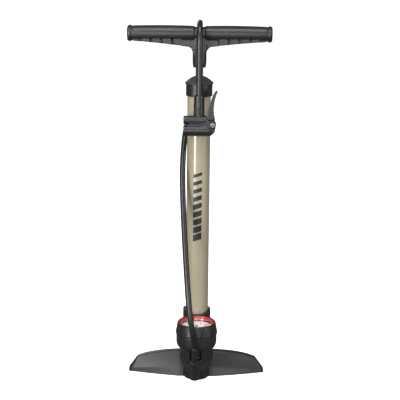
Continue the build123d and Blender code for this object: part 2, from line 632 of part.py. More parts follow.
with BuildPart() as head_body:
    # two stacked valve barrels
    for height, radius, right in ((LOW_PORT_Z, 9.5, 16.5), (HIGH_PORT_Z, 7.6, 9.0)):
        with BuildSketch(Plane((HEAD_LEFT + 5.0, HEAD_Y, height), x_dir=(0, 1, 0), z_dir=(1, 0, 0))):
            Circle(radius)
        extrude(amount=right - HEAD_LEFT - 5.0)
        with Locations((right, HEAD_Y, height)):
            Sphere(radius)
    # web that joins them, with a valley between the barrels in front
    with BuildSketch(side_plane) as web:
        with BuildLine():
            Polyline((-16.0, 433.0), (20.0, 432.0), (26.8, 438.0), (28.4, 448.0), (24.0, 457.0),
                     (16.5, 457.0), (13.0, 464.0), (-16.0, 464.0), close=True)
        make_face()
        fillet(web.vertices(), 2.5)
    extrude(amount=17.5)
    with BuildSketch(upright(0, HEAD_Y - 3.5)):
        with Locations((-8.0, 449.9)):
            RectangleRounded(26.0, 5.6, 2.7)
    extrude(amount=12.0, mode=Mode.SUBTRACT)
    # fork that holds the lever's pin
    with BuildSketch(side_plane):
        with Locations((PIVOT_X, PIVOT_Z)):
            Circle(FORK_END_R)
        with Locations((PIVOT_X - 4.0, PIVOT_Z)):
            Rectangle(8.0, 2.0 * FORK_END_R)
    extrude(amount=21.0)
    # neck for the hose nut
    with BuildSketch(Plane.XY.offset(460.0)):
        with Locations((0, HEAD_Y)):
            Circle(7.0)
    extrude(amount=6.4)
    # the back is hollowed to the barrel's curve, with a socket for the clip's stud
    with BuildSketch(Plane.XY.offset(428.0)):
        Circle(CLIP_R + 0.2)
    extrude(amount=42.0, mode=Mode.SUBTRACT)
    with BuildSketch(Plane.XY.offset(CLIP_BOTTOM + 1.9)):
        with Locations((0, -22.0)):
            Rectangle(8.2, 6.2)
    extrude(amount=CLIP_HEIGHT - 3.8, mode=Mode.SUBTRACT)
    # valve bores, the chamber of the clamp plunger, the lever's slot and pin hole
    for height, radius in ((LOW_PORT_Z, 6.4), (HIGH_PORT_Z, 5.4)):
        with BuildSketch(Plane((HEAD_LEFT, HEAD_Y, height), x_dir=(0, 1, 0), z_dir=(1, 0, 0))):
            Circle(radius)
        extrude(amount=9.0 - HEAD_LEFT, mode=Mode.SUBTRACT)
    with BuildSketch(Plane((7.0, HEAD_Y, 449.5), x_dir=(0, 1, 0), z_dir=(1, 0, 0))):
        Rectangle(2.0 * SLOT_HALF, 28.0)
    extrude(amount=5.4, mode=Mode.SUBTRACT)
    with BuildSketch(Plane((0, HEAD_Y + SLOT_HALF, 0), x_dir=(1, 0, 0), z_dir=(0, -1, 0))):
        with Locations((22.0, 457.0)):
            Rectangle(20.4, 28.0)
    extrude(amount=2.0 * SLOT_HALF, mode=Mode.SUBTRACT)
    with BuildSketch(Plane((0, 0, 0), x_dir=(1, 0, 0), z_dir=(0, -1, 0))):
        with Locations((PIVOT_X, PIVOT_Z)):
            Circle(3.0)
    extrude(amount=60.0, mode=Mode.SUBTRACT)
    # air way down from the hose
    with BuildSketch(Plane.XY.offset(455.0)):
        with Locations((0, HEAD_Y)):
            Circle(2.2)
    extrude(amount=20.0, mode=Mode.SUBTRACT)
write(head_body, "head_body")

# screwed caps and rubber grommets of the two ports
turn_along_x("wide_port_cap", [(HEAD_LEFT, 4.3), (HEAD_LEFT, 8.2), (HEAD_LEFT + 1.0, 9.0), (HEAD_LEFT + 4.8, 9.0),
                               (HEAD_LEFT + 4.8, 6.2), (HEAD_LEFT + 8.0, 6.2), (HEAD_LEFT + 8.0, 4.3)], LOW_PORT_Z)
turn_along_x("slim_port_cap", [(HEAD_LEFT, 3.2), (HEAD_LEFT, 6.4), (HEAD_LEFT + 1.0, 7.2), (HEAD_LEFT + 4.8, 7.2),
                               (HEAD_LEFT + 4.8, 5.2), (HEAD_LEFT + 8.0, 5.2), (HEAD_LEFT + 8.0, 3.2)], HIGH_PORT_Z)
turn_along_x("wide_grommet", [(-17.8, 3.9), (-17.8, 6.1), (-8.6, 6.1), (-8.6, 3.9)], LOW_PORT_Z)
turn_along_x("slim_grommet", [(-17.8, 2.9), (-17.8, 5.1), (-8.6, 5.1), (-8.6, 2.9)], HIGH_PORT_Z)

with BuildPart() as clamp_plunger:
    # two hollow pushers on one yoke, squeezed leftwards by the lever's cam
    for height, outer, inner in ((LOW_PORT_Z, 6.0, 2.4), (HIGH_PORT_Z, 5.0, 2.0)):
        with BuildSketch(Plane((-6.4, HEAD_Y, height), x_dir=(0, 1, 0), z_dir=(1, 0, 0))):
            Circle(outer)
            Circle(inner, mode=Mode.SUBTRACT)
        extrude(amount=15.0)
    with BuildSketch(Plane((8.6, HEAD_Y, 449.5), x_dir=(0, 1, 0), z_dir=(1, 0, 0))):
        Rectangle(7.4, 25.0)
    extrude(amount=3.2)
    with BuildSketch(Plane((11.8, HEAD_Y, PIVOT_Z - CAM_OFFSET), x_dir=(0, 1, 0), z_dir=(1, 0, 0))):
        Rectangle(7.4, 8.0)
    extrude(amount=PIVOT_X - CAM_R - 0.5 - 11.8)
write(clamp_plunger, "clamp_plunger")

turn_along_x("valve_depressor", [(-8.2, 0), (-8.2, 1.2), (-6.0, 1.4), (-6.0, 2.38), (2.0, 2.38), (2.0, 0)], LOW_PORT_Z)

with BuildPart() as head_lever:
    # cam hub between the fork's cheeks, set off centre so that a half turn up clamps
    with BuildSketch(Plane((0, HEAD_Y + SLOT_HALF - 0.4, 0), x_dir=(1, 0, 0), z_dir=(0, -1, 0))):
        with Locations((PIVOT_X, PIVOT_Z - CAM_OFFSET)):
            Circle(CAM_R)
        with Locations((PIVOT_X, PIVOT_Z + 5.4)):
            Rectangle(7.6, 10.0)
    extrude(amount=2.0 * SLOT_HALF - 0.8)
    # finger blade, curling outward at its tip
    with BuildSketch(Plane((0, HEAD_Y + 7.0, 0), x_dir=(1, 0, 0), z_dir=(0, -1, 0))):
        with BuildLine():
            Spline((17.4, 459.0), (15.6, 467.0), (16.8, 477.0), (19.6, 487.6), (22.8, 498.0), (29.2, 507.8))
            Line((29.2, 507.8), (31.0, 506.2))
            Spline((31.0, 506.2), (27.8, 498.0), (25.6, 487.0), (25.0, 472.0), (27.4, 459.0))
            Line((27.4, 459.0), (17.4, 459.0))
        make_face()
    extrude(amount=14.0)
    with BuildSketch(Plane((0, HEAD_Y + 10.0, 0), x_dir=(1, 0, 0), z_dir=(0, -1, 0))):
        with Locations((PIVOT_X, PIVOT_Z)):
            Circle(3.06)
    extrude(amount=20.0, mode=Mode.SUBTRACT)
    # hollow back of the blade
    with BuildSketch(Plane((0, HEAD_Y + 4.6, 0), x_dir=(1, 0, 0), z_dir=(0, -1, 0))):
        with Locations((27.0, 477.0)):
            RectangleRounded(10.0, 24.0, 2.0)
    extrude(amount=9.2, mode=Mode.SUBTRACT)
write(head_lever, "head_lever")

with BuildPart() as lever_pin:
    # tubular rivet: light shows through it
    with BuildSketch(Plane((0, HEAD_BACK + 0.4, 0), x_dir=(1, 0, 0), z_dir=(0, -1, 0))):
        with Locations((PIVOT_X, PIVOT_Z)):
            Circle(3.0)
            Circle(2.1, mode=Mode.SUBTRACT)
    extrude(amount=21.8)
write(lever_pin, "lever_pin")

with BuildPart() as head_clip:
    # sprung C that snaps on the barrel, with a stud that plugs into the head
    with BuildSketch(Plane.XY.offset(CLIP_BOTTOM)):
        Circle(CLIP_R)
        Circle(BARREL_R + 0.3, mode=Mode.SUBTRACT)
        with Locations((0, 20.0)):
            Rectangle(60.0, 26.0, mode=Mode.SUBTRACT)
    extrude(amount=CLIP_HEIGHT)
    with BuildSketch(Plane.XY.offset(CLIP_BOTTOM + 2.0)):
        with Locations((0, -22.7)):
            Rectangle(8.0, 4.4)
    extrude(amount=CLIP_HEIGHT - 4.0)
write(head_clip, "head_clip")

with BuildPart() as hose_nut:
    # ribbed nut that holds the hose on the head
    with BuildSketch(Plane.XY.offset(466.6)):
        with Locations((0, HEAD_Y)):
            Circle(9.0)
            with PolarLocations(9.6, 16):
                Circle(1.0, mode=Mode.SUBTRACT)
            Circle(2.3, mode=Mode.SUBTRACT)
    extrude(amount=11.4)
write(hose_nut, "hose_nut")

HOSE_TOP_END = 500.0
turn("hose_ferrule", [(HOSE_R + 0.1, 478.2), (8.8, 478.2), (9.0, 479.0), (8.6, 494.0), (7.4, HOSE_TOP_END - 0.6),
                      (6.4, HOSE_TOP_END), (HOSE_R + 0.1, HOSE_TOP_END)], (0, HEAD_Y))
turn("head_barb", washer(1.2, 2.1, 463.6, 484.4), (0, HEAD_Y))

# ---------------------------------------------------------------- hose
with BuildPart() as hose_end_collar:
    with BuildSketch(hose_end_plane):
        Circle(HOSE_END_R)
    extrude(amount=HOSE_END_LENGTH)
    chamfer(hose_end_collar.edges().filter_by(GeomType.CIRCLE).sort_by(Axis.Z)[-1], 0.6)
    with BuildSketch(hose_end_plane.offset(10.0)):
        Circle(HOSE_R + 0.05)
    extrude(amount=40.0, mode=Mode.SUBTRACT)
write(hose_end_collar, "hose_end_collar")

with BuildPart() as hose_barb:
    with BuildSketch(hose_end_plane.offset(-13.0)):
        Circle(3.0)
    extrude(amount=12.9)
    with BuildSketch(hose_end_plane.offset(-13.0)):
        Circle(1.2)
    extrude(amount=12.9, mode=Mode.SUBTRACT)
write(hose_barb, "hose_barb")

# The hose leaves the foot, bows forward over the gauge, lies beside the barrel, goes round
# behind it, over the handle, and straight down into the head.
def along_hose_end(distance):
    """A point on the hose end's leaning axis."""
    return tuple(hose_end_plane.origin + hose_end_plane.z_dir * distance)


riser_route = [
    along_hose_end(10.2),
    along_hose_end(46.0),
    (-10.5, -106.0, 128.0),
    (-15.5, -93.0, 176.0),
    (-20.5, -66.0, 240.0),
    (-25.0, -38.0, 304.0),
    (-27.4, -19.0, 360.0),
    (-26.2, -5.0, 400.0),
    (-23.6, 12.0, 430.0),
    (-16.0, 26.0, 456.0),
    (-6.0, 31.2, 486.0),
    (0.0, STRAND_Y, 520.0),
    (0.0, STRAND_Y, HOSE_SPLIT_Z),
]
HOSE_TOP = HANDLE_Z + 13.0 + HOSE_R + 0.4
loop_route = [
    (0.0, STRAND_Y, HOSE_SPLIT_Z),
    (0.0, STRAND_Y, HOSE_TOP),
    (0.0, -STRAND_Y, HOSE_TOP),
    (0.0, -STRAND_Y, HOSE_SPLIT_Z),
]


def bend_radii(route):
    """The largest arc that each corner's two runs allow."""
    points = [Vector(*p) for p in route]
    radii = []
    for before, corner, after in zip(points, points[1:], points[2:]):
        arriving, leaving = corner - before, after - corner
        half_turn = math.radians(arriving.get_angle(leaving)) / 2
        radii.append(0.45 * min(arriving.length, leaving.length) / math.tan(half_turn))
    return radii


def hose_piece(node, route):
    """One stretch of hose: straight runs joined by tangent arcs."""
    radii = bend_radii(route)
    with BuildPart() as piece:
        with BuildLine() as line:
            FilletPolyline(*route, radius=radii)
        along = Vector(*route[1]) - Vector(*route[0])
        with BuildSketch(Plane(route[0], z_dir=along)):
            Circle(HOSE_R)
        sweep()
    length = sum(edge.length for edge in line.edges())
    expected = math.pi * HOSE_R ** 2 * length
    print(node, "length", round(length, 1), "radii", [round(r) for r in radii],
          "volume ratio", round(piece.part.volume / expected, 4))
    write(piece, node)
    return length


hose_length = hose_piece("hose_riser", riser_route) + hose_piece("hose_loop", loop_route)

DROP_END = 485.0
with BuildPart() as hose_drop:
    with BuildSketch(Plane.XY.offset(DROP_END)):
        with Locations((0, -STRAND_Y)):
            Circle(HOSE_R)
    extrude(amount=HOSE_SPLIT_Z - DROP_END)
write(hose_drop, "hose_drop")
print("hose in all", round(hose_length + HOSE_SPLIT_Z - DROP_END, 1))
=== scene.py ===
# %% [markdown]
# # A floor bike pump, dressed in Blender
# The imported model is a fixed frame: every CAD piece is already in its place and moves with its
# body. This lesson gives each one its real finish, and makes what CAD is poor at: the
# rubber hose, the softened edges of moulded nylon, the printed dial.

# %% Load the frame
import bpy
import bmesh
import json
import math
from mathutils import Vector, Matrix


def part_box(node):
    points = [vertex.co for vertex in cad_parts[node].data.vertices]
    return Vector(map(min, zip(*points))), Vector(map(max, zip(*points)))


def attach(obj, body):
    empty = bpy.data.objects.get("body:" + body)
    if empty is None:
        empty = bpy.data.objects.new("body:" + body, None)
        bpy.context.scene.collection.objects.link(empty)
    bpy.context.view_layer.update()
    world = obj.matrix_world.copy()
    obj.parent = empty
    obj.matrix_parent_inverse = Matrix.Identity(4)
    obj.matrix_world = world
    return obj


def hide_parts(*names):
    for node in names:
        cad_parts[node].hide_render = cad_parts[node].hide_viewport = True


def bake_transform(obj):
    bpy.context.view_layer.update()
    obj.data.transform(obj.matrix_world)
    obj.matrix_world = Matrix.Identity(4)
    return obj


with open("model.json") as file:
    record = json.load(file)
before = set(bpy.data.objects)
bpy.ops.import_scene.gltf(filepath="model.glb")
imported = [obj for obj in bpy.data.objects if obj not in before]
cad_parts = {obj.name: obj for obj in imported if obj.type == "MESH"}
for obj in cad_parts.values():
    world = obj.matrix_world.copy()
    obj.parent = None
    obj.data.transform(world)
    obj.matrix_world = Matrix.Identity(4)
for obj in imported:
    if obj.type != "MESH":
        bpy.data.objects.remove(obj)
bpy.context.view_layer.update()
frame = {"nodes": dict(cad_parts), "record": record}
MM = 0.001

# %% [markdown]
# ## Camera
# The pump stands upright and is seen from a little above. A long lens keeps the tall barrel from
# tapering much: a 90 mm lens at 1.7 m does that. A shorter one, closer, would spread the foot and
# shrink the handle. The camera leans a fraction of a degree, as one levelled by hand does.

# %% The camera
CAMERA_PLACE = Vector((0.0035, -1.704, 0.691))
CAMERA_DOWN = 12.5
CAMERA_LEAN = 0.66

camera_data = bpy.data.cameras.new("camera")
camera_data.lens = 90.0
camera_data.sensor_width = 36.0
camera = bpy.data.objects.new("camera", camera_data)
bpy.context.scene.collection.objects.link(camera)
tilt = Matrix.Rotation(math.radians(90.0 - CAMERA_DOWN), 4, "X")
lean = Matrix.Rotation(math.radians(CAMERA_LEAN), 4, "Z")
camera.matrix_world = Matrix.Translation(CAMERA_PLACE) @ tilt @ lean
bpy.context.scene.camera = camera
print("camera lens", camera_data.lens, "mm")

# %% [markdown]
# ## Colour and material helpers
# Colours are written as sRGB hex, as a paint card gives them. Blender's shaders want linear
# light, so one function converts. One more function adds a node, sets it and links it.


# %% Colour and node helpers
def linear(hex_code):
    """An sRGB hex colour as linear RGBA."""
    channels = [int(hex_code[i:i + 2], 16) / 255.0 for i in (1, 3, 5)]
    return [c / 12.92 if c <= 0.04045 else ((c + 0.055) / 1.055) ** 2.4 for c in channels] + [1.0]


def add(tree, kind, settings=None, links=None):
    """Add a node, set its sockets or properties, and link other nodes' outputs into it."""
    node = tree.nodes.new(kind)
    for name, value in (settings or {}).items():
        if name in node.inputs:
            node.inputs[name].default_value = value
        else:
            setattr(node, name, value)
    for name, source in (links or {}).items():
        tree.links.new(source, node.inputs[name])
    return node


def new_material(name, colour, roughness, **shader):
    """A material with one shader; returns it, its node tree and the shader node."""
    material = bpy.data.materials.new(name)
    material.use_nodes = True
    tree = material.node_tree
    surface = tree.nodes["Principled BSDF"]
    surface.inputs["Base Color"].default_value = linear(colour)
    surface.inputs["Roughness"].default_value = roughness
    for socket, value in shader.items():
        surface.inputs[socket.replace("_", " ")].default_value = value
    material.diffuse_color = linear(colour)
    return material, tree, surface


def grain(tree, surface, size_mm, height_mm, detail=3.0):
    """Fine bumps of this size: moulded grain, orange peel or rubber bloom. Returns the coordinates."""
    place = add(tree, "ShaderNodeTexCoord")
    noise = add(tree, "ShaderNodeTexNoise", {"Scale": 1.0 / (size_mm * MM), "Detail": detail},
                {"Vector": place.outputs["Object"]})
    bump = add(tree, "ShaderNodeBump", {"Strength": 1.0, "Distance": height_mm * MM},
               {"Height": noise.outputs["Fac"]})
    tree.links.new(bump.outputs["Normal"], surface.inputs["Normal"])
    return place


def patchy(tree, surface, place, size_mm, dark, light, rough_low, rough_high):
    """Slow drift of colour and roughness, as handling and moulding leave."""
    drift = add(tree, "ShaderNodeTexNoise", {"Scale": 1.0 / (size_mm * MM), "Detail": 2.0},
                {"Vector": place.outputs["Object"]})
    tint = add(tree, "ShaderNodeMix", {"data_type": "RGBA"}, {"Factor": drift.outputs["Fac"]})
    colour_a, colour_b, colour_out = 6, 7, 2
    tint.inputs[colour_a].default_value = linear(dark)
    tint.inputs[colour_b].default_value = linear(light)
    tree.links.new(tint.outputs[colour_out], surface.inputs["Base Color"])
    gloss = add(tree, "ShaderNodeMapRange", {"To Min": rough_low, "To Max": rough_high},
                {"Value": drift.outputs["Fac"]})
    tree.links.new(gloss.outputs["Result"], surface.inputs["Roughness"])


# %% [markdown]
# ## Black plastics and rubber
# Nearly all of the pump is black, so the pieces are told apart by how they take the light. A
# single black for all would read as one lump; each gets its own grain, gloss and warmth. The
# grains are drawn as procedural noise, so they need no image and hold at any distance.

# %% Moulded plastics
# Glass-filled nylon, injection moulded against a spark-eroded tool: foot, grip, head, lever and
# the bands, caps and nuts round them. The eye gets charcoal black with a fine grain that spreads the lamps into soft grey sheens.
# Real spark grain is near 0.1 mm; it is drawn at 0.55 mm so that it shows.
nylon, tree, surface = new_material("moulded glass-filled nylon", "#161618", 0.4)
place = grain(tree, surface, 0.55, 0.035)
patchy(tree, surface, place, 30.0, "#131315", "#1a1a1c", 0.34, 0.48)

# Polymer moulded in a matt tool: the domed cap on the barrel. The eye gets a warmer, paler black
# than the nylon, with no clear highlight.
soft_cap, tree, surface = new_material("matt moulded polymer", "#2a2825", 0.62)
place = grain(tree, surface, 0.5, 0.03)
patchy(tree, surface, place, 14.0, "#262421", "#2e2b28", 0.55, 0.7)

# Acetal, moulded and left its natural colour: plug, piston, rod guide and plunger. The eye gets a
# milky white that lets a little light in.
acetal, tree, surface = new_material("natural acetal", "#d9d8d2", 0.35, Subsurface_Weight=0.05)
grain(tree, surface, 0.6, 0.01)

# %% Rubbers
# Rubber extruded through a smooth die: the hose. The eye gets a deeper black than the nylon, with
# one long highlight down its side that wavers slightly.
hose_rubber, tree, surface = new_material("extruded rubber", "#111112", 0.3)
place = grain(tree, surface, 0.9, 0.02)
patchy(tree, surface, place, 22.0, "#0e0e0f", "#151517", 0.26, 0.38)

# Nitrile rubber, moulded: seals, grommets and the valve's disc. The eye gets a dull black with no highlight.
seal_rubber, tree, surface = new_material("nitrile rubber", "#151515", 0.5)
grain(tree, surface, 0.4, 0.02)

# %% [markdown]
# ## Paint and metals
# The barrel is the one large bright piece. Its colour could be a metal tinted beige, but paint
# under lacquer is what it is: a pale base that takes the light evenly, and a clear coat over it
# that mirrors the tall lamps as stripes. The bare metals are small, so a plain one each is enough.

# %% The barrel's paint
# Champagne gloss paint on drawn steel tube, lacquered. The eye gets a sharp stripe over a soft
# beige body. The bumps are orange peel, 3 mm across and very shallow.
barrel_paint, tree, surface = new_material("champagne gloss paint on steel", "#948b76", 0.3,
                                           Coat_Weight=0.9, Coat_Roughness=0.04)
place = grain(tree, surface, 3.0, 0.012, 1.0)
patchy(tree, surface, place, 60.0, "#908772", "#978e79", 0.28, 0.34)

# %% Bare metals
# Steel, ground and plated: the rod. The eye gets a near mirror, dark and bright in lines.
rod_steel, tree, surface = new_material("ground and plated steel", "#b9bbbd", 0.2, Metallic=1.0)
grain(tree, surface, 1.0, 0.0003)
# Steel, zinc plated: screws, nut, lever pin and spring. Greyer and duller than the rod.
zinc, tree, surface = new_material("zinc plated steel", "#a8abae", 0.34, Metallic=1.0)
grain(tree, surface, 0.5, 0.01)
# Brass, turned, cut or drawn: barbs, gears and the pressure tube. Warm and satin.
brass, tree, surface = new_material("turned brass", "#c8a45a", 0.3, Metallic=1.0)
grain(tree, surface, 0.35, 0.01)

# %% [markdown]
# ## The gauge's finishes
# The gauge is the only spot of colour: a red ring, a white card and a clear window over it. The
# window could be left out, but its reflection is what makes the card look set deep in the cup.

# %% Ring, card and inks
# Acrylic, moulded in red: the target ring. The eye gets a strong, clean red with a soft shine.
marker_red, tree, surface = new_material("red acrylic", "#c4101c", 0.25, Coat_Weight=0.4,
                                         Coat_Roughness=0.1)
grain(tree, surface, 1.0, 0.01)
# Card under white enamel: the dial. Bright and almost flat.
dial_white, tree, surface = new_material("white enamelled card", "#eceae6", 0.4)
grain(tree, surface, 0.4, 0.006)
# Screen printing ink, black and red: ticks and figures. Flat, with a slight edge to each mark.
ink_black, tree, surface = new_material("black printing ink", "#161616", 0.45)
grain(tree, surface, 0.3, 0.004)
ink_red, tree, surface = new_material("red printing ink", "#b8242a", 0.45)
grain(tree, surface, 0.3, 0.004)

# %% The window
# Acrylic sheet, polished: the lens. The eye gets a clear pane with a faint reflection. It lets
# shadow rays through, or the card below it would be black.
window, tree, surface = new_material("polished clear acrylic", "#f8fafa", 0.02,
                                     Transmission_Weight=1.0, IOR=1.49)
grain(tree, surface, 20.0, 0.001, 1.0)
ray = add(tree, "ShaderNodeLightPath")
clear = add(tree, "ShaderNodeBsdfTransparent")
pane = add(tree, "ShaderNodeMixShader", {}, {"Fac": ray.outputs["Is Shadow Ray"]})
tree.links.new(surface.outputs["BSDF"], pane.inputs[1])
tree.links.new(clear.outputs["BSDF"], pane.inputs[2])
tree.links.new(pane.outputs["Shader"], tree.nodes["Material Output"].inputs["Surface"])
print("materials", len(bpy.data.materials))

FINISHES = {
    "moulded_nylon": nylon, "cap_polymer": soft_cap, "barrel_paint": barrel_paint, "acetal": acetal,
    "rod_steel": rod_steel, "zinc_steel": zinc, "seal_rubber": seal_rubber, "hose_rubber": hose_rubber,
    "brass": brass, "marker_red": marker_red, "dial_card": dial_white, "needle_paint": ink_black,
    "clear_window": window,
}

# %% [markdown]
# ## Dress the CAD pieces
# Each CAD node takes the finish of its slot in the record, so nothing shows a bare colour.
# The finish could be picked by hand for each piece; the slot already says what each is made of.

# %% Put a finish on every CAD node
for part in frame["record"]["subparts"]:
    node = frame["nodes"][part["node"]]
    node.data.materials.clear()
    node.data.materials.append(FINISHES[part["material_slot"]])


# %% Helpers for making pieces
def piece_from_mesh(name, mesh, material, body, replaced=()):
    """Link a mesh as a piece that rides on a body."""
    piece = bpy.data.objects.new(name, mesh)
    bpy.context.scene.collection.objects.link(piece)
    piece.data.materials.clear()
    piece.data.materials.append(material)
    if body:
        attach(piece, body)
    if replaced:
        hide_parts(*replaced)
    return piece


def applied(piece):
    """Apply every modifier of a piece."""
    depsgraph = bpy.context.evaluated_depsgraph_get()
    mesh = bpy.data.meshes.new_from_object(piece.evaluated_get(depsgraph))
    old = piece.data
    piece.modifiers.clear()
    piece.data = mesh
    bpy.data.meshes.remove(old)


# %% [markdown]
# ## Moulded pieces with soft edges
# An injection mould leaves no knife edge: every corner has a small radius, and faces run into
# each other. A CAD solid has sharp ones, so each big moulding is copied, rebuilt on a fine grid
# of voxels, and smoothed by a few passes. A bevel would be lighter, but it fails where many small
# faces meet, and voxels don't mind. The corners melt and the rest hardly moves. The foot is four
# nodes that meet at flat faces; those faces go first, so that it is one skin.


# %% Soften a moulding
ON_SEAM = 0.01 * MM
WELD = 0.02 * MM


def moulded(name, nodes, body, voxel_mm, passes, keep, seams=()):
    """One soft-edged piece from CAD nodes; seams are (axis, place in mm) where they meet."""
    joined = bmesh.new()
    for node in nodes:
        joined.from_mesh(frame["nodes"][node].data)
    inner = [
        face for face in joined.faces
        if any(all(abs(v.co[axis] - place * MM) < ON_SEAM for v in face.verts) for axis, place in seams)
    ]
    bmesh.ops.delete(joined, geom=inner, context="FACES_ONLY")
    bmesh.ops.remove_doubles(joined, verts=joined.verts, dist=WELD)
    mesh = bpy.data.meshes.new(name)
    joined.to_mesh(mesh)
    joined.free()
    piece = bpy.data.objects.new(name, mesh)
    bpy.context.scene.collection.objects.link(piece)
    remesh = piece.modifiers.new("voxels", "REMESH")
    remesh.mode = "VOXEL"
    remesh.voxel_size = voxel_mm * MM
    melt = piece.modifiers.new("melt", "SMOOTH")
    melt.factor = 0.5
    melt.iterations = passes
    lighten = piece.modifiers.new("lighten", "DECIMATE")
    lighten.ratio = keep
    applied(piece)
    for face in piece.data.polygons:
        face.use_smooth = True
    piece.data.materials.clear()
    piece.data.materials.append(nylon)
    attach(piece, body)
    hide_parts(*nodes)
    print(name, len(piece.data.polygons), "faces")
    return piece


# %% The foot
X_AXIS, Y_AXIS = 0, 1
FOOT_NODES = ("gauge_pedestal", "barrel_tower", "left_wing", "right_wing")
FOOT_SEAMS = ((X_AXIS, -37.0), (X_AXIS, 37.0), (Y_AXIS, -24.8))
moulded("foot_moulding", FOOT_NODES, "root", 1.0, 5, 0.4, FOOT_SEAMS)

# %% The handle
# the web under the grip melts into the round stem instead of ending in a ledge
handle = moulded("handle_moulding", ("handle_grip",), "handle", 0.8, 3, 0.5)
STEM_RADIUS, WEB_LOW, WEB_HIGH = 11.8 * MM, 561.0 * MM, 576.0 * MM
WEB_FLARE = 3.4 * MM
for vertex in handle.data.vertices:
    reach = math.hypot(vertex.co.x, vertex.co.y)
    rise = min(max((vertex.co.z - WEB_LOW) / (WEB_HIGH - WEB_LOW), 0.0), 1.0)
    most = STEM_RADIUS + WEB_FLARE * rise * rise * (3.0 - 2.0 * rise)
    if vertex.co.z < WEB_HIGH and reach > most:
        vertex.co.x *= most / reach
        vertex.co.y *= most / reach

# %% The head and its lever
moulded("head_moulding", ("head_body",), "root", 0.5, 6, 0.5)
moulded("lever_moulding", ("head_lever",), "lever", 0.45, 4, 0.5)

# %% [markdown]
# ## The printed dial
# The card is screen printed: black ticks and figures for one scale round the rim, a red arc for
# high pressure, and a smaller inner scale. Each mark is a thin slab lying on the card, so it
# stays crisp from any distance. The figures start below the needle and run clockwise.

# %% Marks on the card
dial_low, dial_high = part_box("gauge_dial")
dial_centre = Vector(((dial_low[0] + dial_high[0]) / 2, (dial_low[1] + dial_high[1]) / 2, dial_high[2]))
INK_LIFT, INK_THICK = 0.02 * MM, 0.1 * MM
SWEEP = 270.0


def dial_point(share, radius_mm):
    """A point on the card, by its share of the scale and its radius."""
    angle = math.radians(SWEEP * share)
    return dial_centre + Vector((-math.sin(angle), -math.cos(angle), 0.0)) * radius_mm * MM


def printed(name, outlines, material):
    """Flat printed shapes: each outline, in order round its edge, becomes a thin slab."""
    maker = bmesh.new()
    for outline in outlines:
        low = [maker.verts.new(p + Vector((0, 0, INK_LIFT))) for p in outline]
        high = [maker.verts.new(p + Vector((0, 0, INK_THICK))) for p in outline]
        maker.faces.new(high)
        maker.faces.new(list(reversed(low)))
        for i in range(len(low)):
            j = (i + 1) % len(low)
            maker.faces.new((low[i], low[j], high[j], high[i]))
    bmesh.ops.recalc_face_normals(maker, faces=maker.faces)
    mesh = bpy.data.meshes.new(name)
    maker.to_mesh(mesh)
    maker.free()
    return piece_from_mesh(name, mesh, material, "root")


def tick(share, near, far, width):
    """The four corners of one tick."""
    half = width / (2.0 * math.radians(SWEEP) * (near + far) / 2.0)
    return [dial_point(share - half, near), dial_point(share - half, far),
            dial_point(share + half, far), dial_point(share + half, near)]


def arc_band(start, end, near, far, steps):
    """A curved band as one outline."""
    shares = [start + (end - start) * i / steps for i in range(steps + 1)]
    return [dial_point(s, near) for s in shares] + [dial_point(s, far) for s in reversed(shares)]


def ticks(count, short_near, long_near, far, thin, thick):
    """A ring of ticks, every fifth one long and thick; radii and widths in mm."""
    return [tick(i / count, short_near if i % 5 else long_near, far, thin if i % 5 else thick)
            for i in range(count + 1)]


# %% Print the ticks and bands
outer_ticks = ticks(80, 24.6, 23.4, 26.6, 0.28, 0.6)
inner_ticks = ticks(55, 14.6, 13.8, 15.8, 0.22, 0.42)
red_bands = [arc_band(a / 8, (a + 0.96) / 8, 16.6, 17.8, 8) for a in range(5, 8)]
rim_bands = [arc_band(a / 24, (a + 1) / 24, 26.9, 27.2, 4) for a in range(24)]
printed("dial_ticks", outer_ticks, ink_black)
printed("dial_inner_ticks", inner_ticks, ink_red)
printed("dial_red_arc", red_bands, ink_red)
printed("dial_rim_line", rim_bands, ink_black)
print("ticks", len(outer_ticks), "and", len(inner_ticks))


# %% Figures round the card
def figures(name, labels, radius_mm, size_mm, material):
    """Upright figures round the card, from (share, text) pairs."""
    maker = bmesh.new()
    for share, text in labels:
        curve = bpy.data.curves.new(name, "FONT")
        curve.body = text
        curve.size = size_mm * MM
        curve.align_x = "CENTER"
        curve.align_y = "CENTER"
        curve.extrude = INK_THICK / 2
        curve.resolution_u = 3
        holder = bpy.data.objects.new(name, curve)
        bpy.context.scene.collection.objects.link(holder)
        bpy.context.view_layer.update()
        ready = bpy.context.evaluated_depsgraph_get()
        mesh = bpy.data.meshes.new_from_object(holder.evaluated_get(ready))
        rest_on_card = Vector((0, 0, 0.6 * INK_THICK))
        mesh.transform(Matrix.Translation(dial_point(share, radius_mm) + rest_on_card))
        maker.from_mesh(mesh)
        bpy.data.objects.remove(holder)
        bpy.data.curves.remove(curve)
        bpy.data.meshes.remove(mesh)
    mesh = bpy.data.meshes.new(name)
    maker.to_mesh(mesh)
    maker.free()
    return piece_from_mesh(name, mesh, material, "root")


figures("dial_figures", [(i / 8, str(20 * i)) for i in range(9)], 20.4, 4.2, ink_black)
figures("dial_inner_figures", [(i / 11, str(i)) for i in range(1, 11)], 11.4, 2.5, ink_red)
print("dial centre", [round(c, 4) for c in dial_centre])

# %% [markdown]
# ## A graphic on the barrel
# Makers print something dark down the front of a pump's barrel. Here it is a plain run of
# slanted bars that shorten upwards. Painting them in the barrel's own material would do, but a
# thin curved patch for each keeps its edge crisp and can be lifted off.

